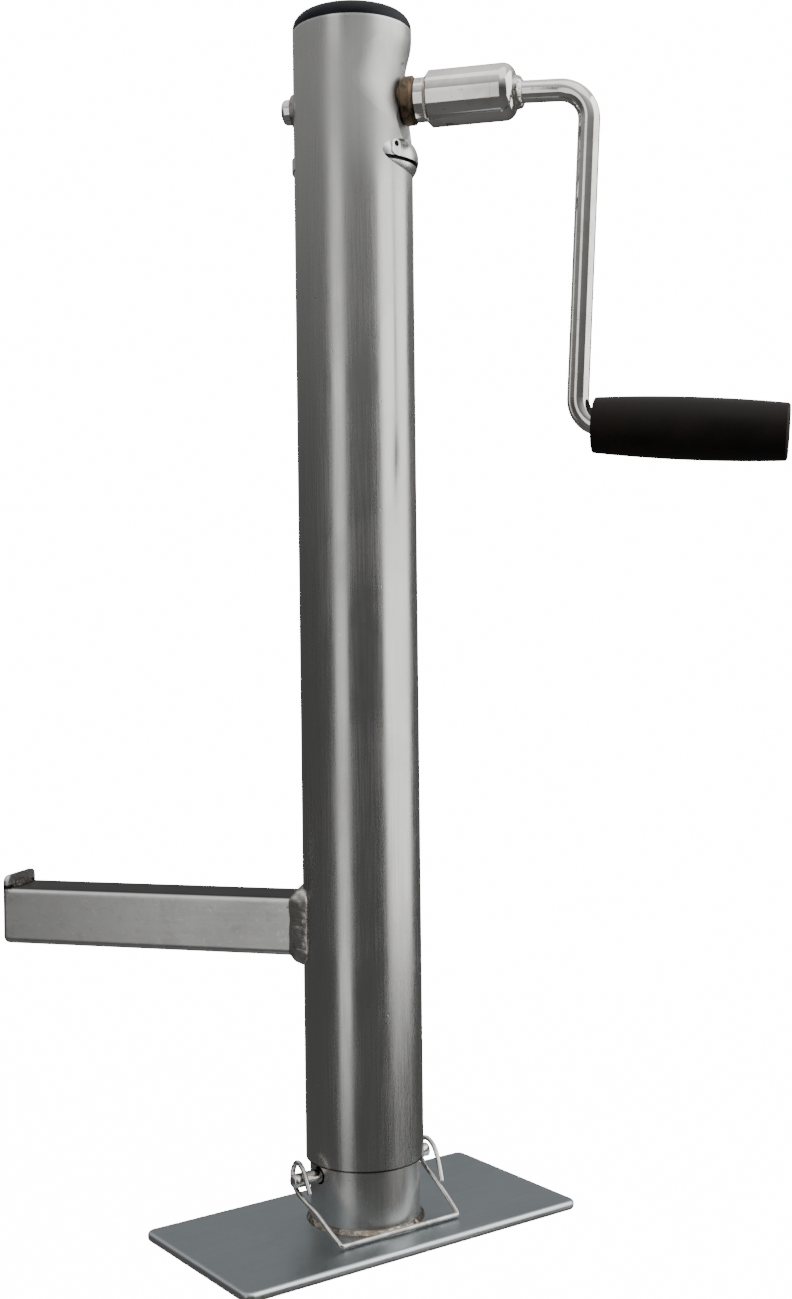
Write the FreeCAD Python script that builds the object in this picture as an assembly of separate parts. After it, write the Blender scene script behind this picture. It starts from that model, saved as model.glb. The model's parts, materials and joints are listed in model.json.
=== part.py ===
"""Trailer tongue jack: a side-wind screw jack with a welded mounting arm and a pinned foot.

The frame's origin is the centre of the foot plate's underside, on the axis of the tube.
+Z runs up the tube, +X points to the crank and the mounting arm points along -X.
All lengths are millimetres.
"""
import FreeCAD
import Part
import math
import os

os.makedirs("parts", exist_ok=True)

V = FreeCAD.Vector
X = V(1, 0, 0)
Y = V(0, 1, 0)
Z = V(0, 0, 1)
ORIGIN = V(0, 0, 0)

# ---- driving dimensions -------------------------------------------------------------------
TUBE_R = 30.0                   # outer tube, 60 x 3 steel
TUBE_BORE_R = 27.0
TUBE_BOTTOM = 36.3
TUBE_TOP = 603.7

PLATE_LENGTH = 200.0            # foot plate
PLATE_WIDTH = 100.0
PLATE_THICK = 5.0
PLATE_CORNER_R = 5.0
PLATE_EDGE_R = 2.0
FOOT_TURN = 50.8                # degrees from the crank's line to the plate's long side

SOCKET_R = 28.0                 # foot socket
SOCKET_BORE_R = 25.3
SOCKET_TOP = TUBE_BOTTOM - 0.3
FOOT_WELD_LEG = 3.0

LEG_R = 25.0                    # inner leg, 50 x 3 steel
LEG_BORE_R = 22.0
LEG_BOTTOM = PLATE_THICK + 1.0
LEG_TOP = 480.0

NUT_BOTTOM = LEG_TOP - 18.0     # lift nut and its pins
NUT_TOP = LEG_TOP + 20.0
NUT_PIN_Z = LEG_TOP - 9.0
NUT_PIN_R = 2.5
NUT_PIN_COUNT = 3

ARM_SIZE = 30.0                 # square mounting arm
ARM_WALL = 3.0
ARM_CORNER_R = 3.5
ARM_Z = 153.7
ARM_NEAR_X = -33.0
ARM_FAR_X = -191.0
END_PLATE_THICK = 4.0
END_PLATE_LIP = 6.3             # height of the end plate above the arm
END_PLATE_CORNER_R = 4.0
END_PLATE_EDGE_R = 2.5          # rounded edge of the outer face
ARM_WELD_FLARE = 5.0

CRANK_Z = 567.6                 # crank shaft axis
SHAFT_R = 6.35
SHAFT_LEFT_X = -36.6
SHAFT_RIGHT_X = 60.0
SHAFT_GAP = 0.05                # running clearance of the shaft in its bushes
BUSH_BODY_R = 8.5
BUSH_FLANGE_R = 12.0
BUSH_FACE_X = 33.5
INNER_BUSH_X = 24.0
PINION_PIN_X = -20.8            # roll pins through the shaft
PINION_PIN_R = 2.0
HUB_PIN_X = 50.0
HUB_PIN_R = 2.5
DENT_FLOOR_X = 26.3             # the tube is pressed flat round the outer bush
DENT_FLOOR_R = 18.0
DENT_RIM_R = 27.0
DRAWN_DEPTH = 4.2                # the wall above the bush is drawn in as a shallow saddle
DRAWN_Z = 576.0
DRAWN_HALF = 21.0
DRAWN_SHIFT = 10.0               # how far the saddle's own centre lies from the tube's axis
DRAWN_EDGE_R = 20.0
CAP_SKIRT = 5.5                 # depth of the top cap's skirt inside the tube

HUB_NECK_X = 34.0               # crank hub
HUB_NECK_R = 10.8
HUB_R = 13.75
HUB_SHOULDER_X = 38.5
HUB_BODY_X = 41.0
HUB_END_X = 83.7
HUB_END_ROUND = 6.0
HUB_GROOVE_X = 73.5
HUB_GROOVE_HALF = 0.3
HUB_GROOVE_DEPTH = 0.25
HUB_WELD_R = 8.2                # weld ring where the rod leaves the hub
HUB_WELD_REACH = 3.4

ROD_R = 5.4                     # crank rod and its four route points, as (x, z below the shaft)
ROD_START = (79.0, 0.5)
ROD_UPPER = (120.4, 2.4)
ROD_LOWER = (112.3, 164.9)
ROD_UPPER_BEND = 15.0
ROD_LOWER_BEND = 13.0
GRIP_START_X = 120.5
GRIP_END_X = 213.0
GRIP_SLOPE = 4.38               # degrees that the grip's axis falls towards its end
GRIP_END_R = 13.6
GRIP_MIDDLE_R = 15.15
GRIP_FAR_R = 13.8
GRIP_EDGE_R = 0.9
GRIP_GAP = 0.07

MODULE = 2.0                    # bevel gears
PINION_TEETH = 14
GEAR_TEETH = 18
GEAR_FACE = 6.0
PRESSURE_ANGLE = 20.0
TOOTH_THINNING = 0.20           # taken off each tooth's thickness at the pitch line
PINION_HUB_R = 10.8
GEAR_HUB_R = 14.0
GEAR_PIN_Z = 549.8
GEAR_PIN_R = 2.0
ADDENDUM = 0.95 * MODULE
DEDENDUM = 1.25 * MODULE

SCREW_R = 10.0                  # lead screw, 20 x 5
SCREW_ROOT_R = 7.6
SCREW_PITCH = 5.0
SCREW_BOTTOM = 146.0
SCREW_THREAD_BOTTOM = 160.0
SCREW_THREAD_TOP = 506.0
SCREW_NECK_R = 9.45
SCREW_NECK_BOTTOM = 508.0
SCREW_TIP_R = 7.0
SCREW_TIP_BOTTOM = 546.0
SCREW_TOP = 556.5
COLLAR_R = 15.0
COLLAR_PIN_Z = 512.0
COLLAR_PIN_R = 2.5
STOP_R = 13.0                   # stop collar at the screw's foot
STOP_TOP = 156.0
STOP_PIN_Z = 151.0
STOP_PIN_R = 2.0
BEARING_BOTTOM = 516.0
BEARING_TOP = 526.0
BEARING_R = 17.5
BALL_R = 2.75
BALL_CIRCLE_R = 13.75
BALL_COUNT = 12
SEAT_TOP = 538.4

CLIP_Z = 539.0                  # right bearing clip: its bulge and the slit across it
CLIP_HALF_HEIGHT = 8.0
CLIP_PROUD = 3.2
CLIP_HALF_ANGLE = 45.0
CLIP_SLIT = (534.9, 536.5)
CLIP_LUG_ANGLE = -31.5
CLIP_LUG_R = 2.8
CLIP_LUG_PROUD = 1.9
CLIP_LUG_Z = (539.3, 541.8)
CLIP_SLOT = (534.3, 543.7)      # the slots in the tube's wall that take the clips
CLIP_SLOT_HALF_ANGLE = 34.0
LEFT_CLIP_Z = (534.3, 540.4)
LEFT_CLIP_PROUD = 1.4
LEFT_SLOT_HALF_ANGLE = 20.0
CLIP_TONGUE_R = 25.5

PIN_Z = 30.8                    # lock pin, along the foot plate's long side
PIN_R = 3.5
PIN_HOLE_R = 4.4
PIN_LEFT = -44.0
PIN_RIGHT = 38.9
WIRE_R = 1.25
BAIL_SIDE = 37.6                # where the bail's two loops stand along the pin
BAIL_CORNER = 34.0
BAIL_LEG = 40.3                 # from the pin's axis to the bail's bar
BAIL_ANGLE = 53.3               # degrees that the bail hangs off the vertical

CLOSE = 0.02                    # radial gap between two pieces that are fixed together


# ---- general helpers ----------------------------------------------------------------------
def rod(radius, start, end):
    """A cylinder between two points."""
    line = end - start
    return Part.makeCylinder(radius, line.Length, start, line)


def ring(outer_r, inner_r, bottom, top):
    """A round tube that stands on the tube's axis."""
    outer = Part.makeCylinder(outer_r, top - bottom, V(0, 0, bottom))
    return outer.cut(Part.makeCylinder(inner_r, top - bottom, V(0, 0, bottom)))


def turned(points, axis_point=ORIGIN, axis=Z):
    """Revolve a closed outline, given as points in a plane through the axis."""
    face = Part.Face(Part.makePolygon(points + [points[0]]))
    return face.revolve(axis_point, axis, 360)


def turned_z(outline):
    """Revolve (radius, height) pairs about the tube's axis."""
    return turned([V(radius, 0, height) for radius, height in outline])


def turned_x(outline):
    """Revolve (x, radius) pairs about the crank shaft's axis."""
    points = [V(x, 0, CRANK_Z + radius) for x, radius in outline]
    return turned(points, V(0, 0, CRANK_Z), X)


def round_box(size, corner_r, axis_low, axis_high):
    """A square bar along X with rounded long edges, centred on the arm's axis."""
    bar = Part.makeBox(axis_high - axis_low, size, size, V(axis_low, -size / 2, ARM_Z - size / 2))
    edges = [edge for edge in bar.Edges if abs(edge.tangentAt(edge.FirstParameter).x) > 0.9]
    return bar.makeFillet(corner_r, edges)


def sector(inner_r, outer_r, bottom, top, start_deg, end_deg):
    """Part of a ring about the tube's axis, between two angles from +X."""
    face = Part.Face(Part.makePolygon([
        V(inner_r, 0, bottom), V(outer_r, 0, bottom), V(outer_r, 0, top), V(inner_r, 0, top),
        V(inner_r, 0, bottom)]))
    swept = face.revolve(ORIGIN, Z, end_deg - start_deg)
    swept.rotate(ORIGIN, Z, start_deg)
    return swept


def bent_rod(points, radius, bends):
    """A round rod through the points, with a tangent arc of its own radius at each inner one."""
    edges = []
    last = points[0]
    for before, corner, after, bend in zip(points, points[1:], points[2:], bends):
        inward = (before - corner).normalize()
        outward = (after - corner).normalize()
        half_turn = (math.pi - inward.getAngle(outward)) / 2
        reach = bend * math.tan(half_turn)
        arc_start = corner + inward * reach
        arc_end = corner + outward * reach
        bisector = (inward + outward).normalize()
        middle = corner + bisector * (bend / math.cos(half_turn) - bend)
        edges.append(Part.LineSegment(last, arc_start).toShape())
        edges.append(Part.Arc(arc_start, middle, arc_end).toShape())
        last = arc_end
    edges.append(Part.LineSegment(last, points[-1]).toShape())
    circle = Part.Wire(Part.makeCircle(radius, points[0], points[1] - points[0]))
    return Part.Wire(edges).makePipeShell([circle], True, True)


def foot_point(along, across, height):
    """A point given along the foot plate's long side, towards its front side, and up."""
    turn = math.radians(FOOT_TURN)
    return V(along * math.cos(turn) + across * math.sin(turn),
             along * math.sin(turn) - across * math.cos(turn), height)


def shaft_point(x, below=0.0):
    """A point in the crank's own plane, given along the shaft and below its axis."""
    return V(x, 0, CRANK_Z - below)


# ---- outer tube and what is fixed to it -----------------------------------------------------
def dent_cone(floor_x, rim_x, beyond):
    """The cone that flattens the tube round the crank's bush."""
    slope = (DENT_RIM_R - DENT_FLOOR_R) / (rim_x - floor_x)
    return Part.makeCone(DENT_FLOOR_R, DENT_RIM_R + slope * beyond, rim_x - floor_x + beyond,
                         shaft_point(floor_x), X)


def drawn_saddle(wall):
    """The ring-shaped tool that draws the tube's side in; wall swells it by that much."""
    throat = TUBE_R - DRAWN_DEPTH + DRAWN_SHIFT
    arc_r = (DRAWN_HALF ** 2 + DRAWN_DEPTH ** 2) / (2 * DRAWN_DEPTH)
    return Part.makeTorus(throat + arc_r, arc_r + wall, V(-DRAWN_SHIFT, 0, DRAWN_Z), Z)


def tube_outside():
    """The tube's outer shape with the saddle drawn in and its edge eased."""
    body = Part.makeCylinder(TUBE_R, TUBE_TOP - TUBE_BOTTOM, V(0, 0, TUBE_BOTTOM))
    body = body.cut(drawn_saddle(0))
    saddle_edges = [edge for edge in body.Edges
                    if edge.BoundBox.ZMin > DRAWN_Z - 2 * DRAWN_HALF
                    and edge.BoundBox.ZMax < TUBE_TOP - 1]
    body = body.makeFillet(DRAWN_EDGE_R, saddle_edges)
    return body.cut(dent_cone(DENT_FLOOR_X, TUBE_R, 2.0))


def outer_tube():
    wall = TUBE_R - TUBE_BORE_R
    bore = Part.makeCylinder(TUBE_BORE_R, TUBE_TOP - TUBE_BOTTOM, V(0, 0, TUBE_BOTTOM))
    bore = bore.cut(drawn_saddle(wall)).cut(dent_cone(DENT_FLOOR_X - wall, TUBE_BORE_R, 1.0))
    tube = tube_outside().cut(bore)
    tube = tube.cut(rod(BUSH_BODY_R, shaft_point(20), shaft_point(34)))
    tube = tube.cut(rod(BUSH_BODY_R, shaft_point(-34), shaft_point(-20)))
    tube = tube.cut(clip_slot(CLIP_SLOT_HALF_ANGLE, *CLIP_SLOT, 0, 0))
    tube = tube.cut(clip_slot(LEFT_SLOT_HALF_ANGLE, *LEFT_CLIP_Z, 180, 0))
    return tube


def top_cap():
    """A pushed-in plastic cap: a shallow crown, a round shoulder and a hollow skirt."""
    lip = 1.3
    rise = 11.4
    shoulder_r = 7.0
    skirt_r = TUBE_BORE_R - CLOSE
    hollow_r = skirt_r - 2.4
    skirt_bottom = TUBE_TOP - CAP_SKIRT
    base = TUBE_TOP + lip
    # the crown's radius makes it tangent to the shoulder
    shoulder_x = TUBE_R - shoulder_r
    crown_r = (shoulder_x ** 2 + rise ** 2 - shoulder_r ** 2) / (2 * (rise - shoulder_r))
    crown_z = base + rise - crown_r
    lean = math.atan2(shoulder_x, base - crown_z)

    def crown(angle):
        return V(crown_r * math.sin(angle), 0, crown_z + crown_r * math.cos(angle))

    def shoulder(angle):
        return V(shoulder_x + shoulder_r * math.sin(angle), 0, base + shoulder_r * math.cos(angle))

    top_arc = Part.Arc(crown(0), crown(lean / 2), crown(lean)).toShape()
    side_arc = Part.Arc(shoulder(lean), shoulder((lean + math.pi / 2) / 2),
                        shoulder(math.pi / 2)).toShape()
    path = [V(TUBE_R, 0, base), V(TUBE_R, 0, TUBE_TOP), V(skirt_r, 0, TUBE_TOP),
            V(skirt_r, 0, skirt_bottom), V(hollow_r, 0, skirt_bottom), V(hollow_r, 0, base - 2.0),
            V(0, 0, base - 2.0), crown(0)]
    outline = Part.Wire([top_arc, side_arc] + Part.makePolygon(path).Edges)
    return Part.Face(outline).revolve(ORIGIN, Z, 360)


def arm_tube():
    outer = round_box(ARM_SIZE, ARM_CORNER_R, ARM_FAR_X, ARM_NEAR_X)
    inner = round_box(ARM_SIZE - 2 * ARM_WALL, ARM_CORNER_R - 2.0, ARM_FAR_X, ARM_NEAR_X)
    return outer.cut(inner)


def arm_end_plate():
    plate = Part.makeBox(END_PLATE_THICK, ARM_SIZE, ARM_SIZE + END_PLATE_LIP,
                         V(ARM_FAR_X - END_PLATE_THICK, -ARM_SIZE / 2, ARM_Z - ARM_SIZE / 2))
    edges = [edge for edge in plate.Edges if abs(edge.tangentAt(edge.FirstParameter).x) > 0.9]
    plate = plate.makeFillet(END_PLATE_CORNER_R, edges)
    outline = [edge for edge in plate.Edges if edge.CenterOfMass.x < ARM_FAR_X - END_PLATE_THICK + 0.1]
    return plate.makeFillet(END_PLATE_EDGE_R, outline)


def square_wire(half, x):
    corners = [V(x, -half, ARM_Z - half), V(x, half, ARM_Z - half),
               V(x, half, ARM_Z + half), V(x, -half, ARM_Z + half)]
    return Part.makePolygon(corners + [corners[0]])


def arm_weld():
    """The bead that fills the gap between the arm's square end and the round tube."""
    half = ARM_SIZE / 2
    foot_x = -(TUBE_R - 4.0)
    bead = Part.makeLoft([square_wire(half, ARM_NEAR_X),
                          square_wire(half + ARM_WELD_FLARE, foot_x)], True, True)
    core = Part.makeBox(20, 2 * (half - ARM_WALL), 2 * (half - ARM_WALL),
                        V(-40, ARM_WALL - half, ARM_Z + ARM_WALL - half))
    bead = bead.cut(core)
    return bead.cut(Part.makeCylinder(TUBE_R, 120, V(0, 0, ARM_Z - 60)))


def end_plate_weld():
    """The short bead in the corner between the arm's top and the end plate's lip."""
    top = ARM_Z + ARM_SIZE / 2
    bead = Part.Face(Part.makePolygon([
        V(ARM_FAR_X, -10, top), V(ARM_FAR_X + 3.5, -10, top), V(ARM_FAR_X, -10, top + 3.0),
        V(ARM_FAR_X, -10, top)]))
    return bead.extrude(V(0, 20, 0))


def crank_bush_outer():
    """The flanged bush that stands out of the tube under the crank's hub."""
    inner_x = DENT_FLOOR_X - (TUBE_R - TUBE_BORE_R)
    bore = SHAFT_R + SHAFT_GAP
    chamfer = 1.6
    return turned_x([(inner_x, bore), (inner_x, BUSH_BODY_R - CLOSE),
                     (DENT_FLOOR_X, BUSH_BODY_R - CLOSE), (DENT_FLOOR_X, BUSH_FLANGE_R - chamfer),
                     (DENT_FLOOR_X + chamfer, BUSH_FLANGE_R),
                     (BUSH_FACE_X - chamfer, BUSH_FLANGE_R), (BUSH_FACE_X, BUSH_FLANGE_R - chamfer),
                     (BUSH_FACE_X, bore)])


def crank_bush_inner():
    """The plain bush in the far wall, with a low collar outside the tube."""
    collar_x = -TUBE_R - 1.2
    bore = SHAFT_R + SHAFT_GAP
    return turned_x([(-INNER_BUSH_X, bore), (-INNER_BUSH_X, BUSH_BODY_R - CLOSE),
                     (collar_x, BUSH_BODY_R - CLOSE), (collar_x, bore)])


def lens_circle(proud, half_angle):
    """Centre distance and radius of the circle that stands proud of the tube and fades into
    it at +-half_angle."""
    crown = TUBE_R + proud
    centre = (crown ** 2 - TUBE_R ** 2) / (2 * (crown - TUBE_R * math.cos(math.radians(half_angle))))
    return centre, crown - centre


def clip_slot(half_angle, bottom, top, middle_deg, clearance):
    """The part of the tube's wall that a clip's tongue passes through."""
    return sector(CLIP_TONGUE_R - clearance, TUBE_R + 0.5, bottom - clearance, top + clearance,
                  middle_deg - half_angle, middle_deg + half_angle)


def clip_bulge():
    """The right clip's rounded outside: domed in height, fading out round the tube."""
    centre, radius = lens_circle(CLIP_PROUD, CLIP_HALF_ANGLE)
    foot = radius - CLIP_PROUD
    low = V(centre + foot, 0, CLIP_Z - CLIP_HALF_HEIGHT)
    high = V(centre + foot, 0, CLIP_Z + CLIP_HALF_HEIGHT)
    dome = Part.Arc(low, V(centre + radius, 0, CLIP_Z), high).toShape()
    core = Part.makePolygon([high, V(centre, 0, high.z), V(centre, 0, low.z), low])
    face = Part.Face(Part.Wire([dome] + core.Edges))
    bulge = face.revolve(V(centre, 0, 0), Z, 360)
    slit = ring(TUBE_R + 10, TUBE_R + 0.2, *CLIP_SLIT)
    tube = Part.makeCylinder(TUBE_R + CLOSE, 40, V(0, 0, CLIP_Z - 20))
    return bulge.cut(slit).cut(tube)


def clip_lug():
    """The pierced lug at the front end of the right clip."""
    angle = math.radians(CLIP_LUG_ANGLE)
    outward = V(math.cos(angle), math.sin(angle), 0)
    low, high = [V(0, 0, height) for height in CLIP_LUG_Z]
    inner = outward * (TUBE_R - 3)
    outer = outward * (TUBE_R + 4)
    lug = rod(CLIP_LUG_R, low + inner, low + outer).fuse(rod(CLIP_LUG_R, high + inner, high + outer))
    shell = ring(TUBE_R + CLIP_LUG_PROUD, TUBE_R + CLOSE, CLIP_Z - 10, CLIP_Z + 10)
    return lug.common(shell)


def clip_lug_hole():
    angle = math.radians(CLIP_LUG_ANGLE)
    outward = V(math.cos(angle), math.sin(angle), 0)
    height = V(0, 0, CLIP_LUG_Z[1] + 0.4)
    return rod(1.45, height + outward * 20, height + outward * 40)


def bearing_clip_right():
    """The spring clip that holds the bearing seat through a slot in the tube."""
    tongue = clip_slot(CLIP_SLOT_HALF_ANGLE, *CLIP_SLOT, 0, -CLOSE)
    return clip_bulge().fuse(clip_lug()).fuse(tongue).cut(clip_lug_hole())


def bearing_clip_left():
    """The plain clip in the slot on the arm's side."""
    bottom, top = LEFT_CLIP_Z
    centre, radius = lens_circle(LEFT_CLIP_PROUD, 32.0)
    lens = Part.makeCylinder(radius, top - bottom, V(-centre, 0, bottom))
    lens = lens.cut(Part.makeCylinder(TUBE_R + CLOSE, top - bottom, V(0, 0, bottom)))
    return lens.fuse(clip_slot(LEFT_SLOT_HALF_ANGLE, bottom, top, 180, -CLOSE))


def bearing_seat():
    """The turned disc that the thrust bearing presses up against."""
    groove = ring(TUBE_R, CLIP_TONGUE_R - 0.2, CLIP_SLOT[0] - 0.2, SEAT_TOP)
    return ring(TUBE_BORE_R - 0.1, 10.0, BEARING_TOP, SEAT_TOP).cut(groove)


def race_groove():
    return Part.makeTorus(BALL_CIRCLE_R, BALL_R + 0.06, V(0, 0, (BEARING_BOTTOM + BEARING_TOP) / 2))


def bearing_washer_upper():
    return ring(BEARING_R, 10.1, BEARING_TOP - 3.0, BEARING_TOP).cut(race_groove())


def guide_bush():
    """The nylon sleeve that centres the leg at the tube's mouth."""
    return ring(TUBE_BORE_R - CLOSE, LEG_R + 0.1, TUBE_BOTTOM, TUBE_BOTTOM + 25)


# ---- crank --------------------------------------------------------------------------------
def crank_shaft():
    """The cross shaft; its far end stands out beyond the tube and is rounded over."""
    edge = 2.0
    shaft = rod(SHAFT_R, shaft_point(SHAFT_LEFT_X), shaft_point(SHAFT_RIGHT_X))
    rim = [e for e in shaft.Edges if e.CenterOfMass.x < SHAFT_LEFT_X + 0.1]
    shaft = shaft.makeFillet(edge, rim)
    shaft = shaft.cut(pin_hole(PINION_PIN_X, PINION_PIN_R))
    return shaft.cut(pin_hole(HUB_PIN_X, HUB_PIN_R))


def pin_hole(x, radius):
    """A vertical cross hole through the crank's shaft line."""
    reach = V(0, 0, 2 * HUB_R)
    return rod(radius + CLOSE, shaft_point(x) - reach, shaft_point(x) + reach)


def pinion_roll_pin():
    reach = V(0, 0, PINION_HUB_R - 0.3)
    return rod(PINION_PIN_R, shaft_point(PINION_PIN_X) - reach, shaft_point(PINION_PIN_X) + reach)


def hub_roll_pin():
    reach = V(0, 0, HUB_R - 0.25)
    return rod(HUB_PIN_R, shaft_point(HUB_PIN_X) - reach, shaft_point(HUB_PIN_X) + reach)


def crank_hub():
    """The turned coupling between the shaft and the crank rod."""
    bore = SHAFT_R + CLOSE
    pocket_x = ROD_START[0] - 0.5
    pocket_r = ROD_R + 0.95
    floor_x = SHAFT_RIGHT_X + 0.5
    hub = turned_x([(HUB_NECK_X, bore), (HUB_NECK_X, HUB_NECK_R), (HUB_SHOULDER_X, HUB_NECK_R),
                    (HUB_BODY_X, HUB_R), (HUB_END_X, HUB_R), (HUB_END_X, pocket_r),
                    (pocket_x, pocket_r), (pocket_x, 0), (floor_x, 0), (floor_x, bore)])
    rim = [e for e in hub.Edges
           if e.BoundBox.XMin > HUB_END_X - 0.1 and e.BoundBox.ZLength > 2 * pocket_r + 1]
    hub = hub.makeFillet(HUB_END_ROUND, rim)
    low_x = HUB_GROOVE_X - HUB_GROOVE_HALF
    high_x = HUB_GROOVE_X + HUB_GROOVE_HALF
    groove_r = HUB_R - HUB_GROOVE_DEPTH
    hub = hub.cut(turned_x([(low_x, HUB_R + 1), (low_x, groove_r), (high_x, groove_r),
                            (high_x, HUB_R + 1)]))
    return hub.cut(pin_hole(HUB_PIN_X, HUB_PIN_R))


def grip_axis():
    """Where the grip's axis starts and which way it runs."""
    slope = math.radians(GRIP_SLOPE)
    direction = V(math.cos(slope), 0, -math.sin(slope))
    corner = shaft_point(*ROD_LOWER)
    start = corner + direction * ((GRIP_START_X - ROD_LOWER[0]) / math.cos(slope))
    return start, direction


def grip_length():
    return (GRIP_END_X - GRIP_START_X) / math.cos(math.radians(GRIP_SLOPE))


def crank_rod():
    """The cranked handle rod, bent from one round bar."""
    start, direction = grip_axis()
    rod_end = start + direction * (grip_length() - 5.0)
    points = [shaft_point(*ROD_START), shaft_point(*ROD_UPPER), shaft_point(*ROD_LOWER), rod_end]
    return bent_rod(points, ROD_R, [ROD_UPPER_BEND, ROD_LOWER_BEND])


def hub_weld():
    """The ring of weld where the rod leaves the hub."""
    end_x = HUB_END_X + HUB_WELD_REACH
    outline = [(HUB_END_X, 0), (HUB_END_X, HUB_WELD_R), (HUB_END_X + 1.4, HUB_WELD_R - 0.2),
               (end_x, ROD_R + 0.4), (end_x, 0)]
    first = shaft_point(*ROD_START)
    second = shaft_point(*ROD_UPPER)
    return turned_x(outline).cut(rod(ROD_R, first - (second - first) * 0.1, second))


def along_grip(distance):
    start, direction = grip_axis()
    return start + direction * distance


def grip_push_nut():
    """The toothed push nut that keeps the grip on its rod."""
    at = grip_length() - 7.8
    nut = rod(8.0, along_grip(at), along_grip(at + 2.0))
    return nut.cut(rod(ROD_R + CLOSE, along_grip(at - 1), along_grip(at + 3)))


# ---- grip ---------------------------------------------------------------------------------
def grip():
    """The barrel-shaped sleeve that turns on the crank rod."""
    length = grip_length()
    inner_end = Part.Arc(V(0, 0, GRIP_END_R - GRIP_EDGE_R),
                         V(GRIP_EDGE_R * (1 - math.sqrt(0.5)), 0,
                           GRIP_END_R - GRIP_EDGE_R * (1 - math.sqrt(0.5))),
                         V(GRIP_EDGE_R, 0, GRIP_END_R)).toShape()
    barrel = Part.Arc(V(GRIP_EDGE_R, 0, GRIP_END_R), V(0.46 * length, 0, GRIP_MIDDLE_R),
                      V(length - 0.8, 0, GRIP_FAR_R)).toShape()
    closing = Part.makePolygon([V(length - 0.8, 0, GRIP_FAR_R), V(length, 0, GRIP_FAR_R - 0.8),
                                V(length, 0, 0), V(0, 0, 0), V(0, 0, GRIP_END_R - GRIP_EDGE_R)])
    outline = Part.Wire([inner_end, barrel] + closing.Edges)
    body = Part.Face(outline).revolve(ORIGIN, X, 360)
    start, direction = grip_axis()
    body.Placement = FreeCAD.Placement(start, FreeCAD.Rotation(X, direction))
    body = body.cut(rod(ROD_R + GRIP_GAP, along_grip(-1), along_grip(length + 1)))
    body = body.cut(rod(8.2, along_grip(-1), along_grip(6)))
    return body.cut(rod(9.0, along_grip(length - 8), along_grip(length + 1)))


def grip_end_plug():
    length = grip_length()
    plug = rod(9.0 - CLOSE, along_grip(length - 3.2), along_grip(length - 0.2))
    far_rim = [e for e in plug.Edges if e.CenterOfMass.x > along_grip(length - 1).x]
    return plug.makeFillet(0.7, far_rim)


# ---- bevel gears ----------------------------------------------------------------------------
def involute(angle):
    return math.tan(angle) - angle


def tooth_profile(teeth, mate_teeth, height):
    """Radius and half angle of a tooth flank, projected to the gear's large-end plane.

    height is measured from the pitch cone; the flank is an involute on the back cone.
    """
    pitch_r = MODULE * teeth / 2
    mate_r = MODULE * mate_teeth / 2
    cone = math.atan2(pitch_r, mate_r)
    virtual_r = pitch_r / math.cos(cone)
    base_r = virtual_r * math.cos(math.radians(PRESSURE_ANGLE))
    here_r = virtual_r + height
    pressure = math.acos(min(1.0, base_r / here_r))
    half = (math.pi * MODULE / 2 - TOOTH_THINNING) / (2 * virtual_r)
    half += involute(math.radians(PRESSURE_ANGLE)) - involute(pressure)
    axial = mate_r - height * math.sin(cone)
    radius = (pitch_r + height * math.cos(cone)) * mate_r / axial
    return radius, half / math.cos(cone)


def bevel_body(teeth, mate_teeth, phase_deg):
    """A toothed cone frustum with its apex at the origin and its axis along +Z."""
    heights = [-DEDENDUM, -0.5 * DEDENDUM, 0.0, 0.5 * ADDENDUM, ADDENDUM]
    flank = [tooth_profile(teeth, mate_teeth, height) for height in heights]
    outline = []
    for tooth in range(teeth):
        middle = math.radians(phase_deg) + 2 * math.pi * tooth / teeth
        outline += [(radius, middle - half) for radius, half in flank]
        outline += [(radius, middle + half) for radius, half in reversed(flank)]
    mate_r = MODULE * mate_teeth / 2
    cone_distance = math.hypot(MODULE * teeth / 2, mate_r)
    small = (cone_distance - GEAR_FACE) / cone_distance
    large_end = [V(r * math.cos(a), r * math.sin(a), mate_r) for r, a in outline]
    small_end = [point * small for point in large_end]
    faces = [Part.Face(Part.makePolygon(large_end + [large_end[0]])),
             Part.Face(Part.makePolygon(small_end + [small_end[0]]))]
    for index, corner in enumerate(large_end):
        after = (index + 1) % len(large_end)
        faces.append(Part.Face(Part.makePolygon([
            corner, large_end[after], small_end[after], small_end[index], corner])))
    return Part.makeSolid(Part.makeShell(faces))


def bevel_pinion():
    """The driving gear on the shaft, on the arm's side, with a tooth gap facing down."""
    body = bevel_body(PINION_TEETH, GEAR_TEETH, 180.0 / PINION_TEETH)
    body.rotate(ORIGIN, Y, -90)
    body.translate(shaft_point(0))
    large_x = -MODULE * GEAR_TEETH / 2
    body = body.fuse(rod(PINION_HUB_R, shaft_point(0.3 - INNER_BUSH_X), shaft_point(large_x)))
    body = body.cut(rod(SHAFT_R + CLOSE, shaft_point(-30), shaft_point(0)))
    return body.cut(pin_hole(PINION_PIN_X, PINION_PIN_R))


def bevel_gear():
    """The driven gear on the screw's top end, with a tooth facing the pinion."""
    body = bevel_body(GEAR_TEETH, PINION_TEETH, 0.0)
    body.rotate(ORIGIN, Y, 180)
    body.translate(shaft_point(0))
    large_z = CRANK_Z - MODULE * PINION_TEETH / 2
    hub_length = large_z - SCREW_TIP_BOTTOM
    body = body.fuse(Part.makeCylinder(GEAR_HUB_R, hub_length, V(0, 0, SCREW_TIP_BOTTOM)))
    body = body.cut(Part.makeCylinder(SCREW_TIP_R + CLOSE, 30, V(0, 0, SCREW_TIP_BOTTOM)))
    return body.cut(cross_pin(GEAR_PIN_Z, GEAR_PIN_R + CLOSE, 20))


# ---- lead screw, thrust bearing ---------------------------------------------------------------
def cross_pin(height, radius, reach):
    """A pin along Y through the tube's axis."""
    return rod(radius, V(0, -reach, height), V(0, reach, height))


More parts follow.
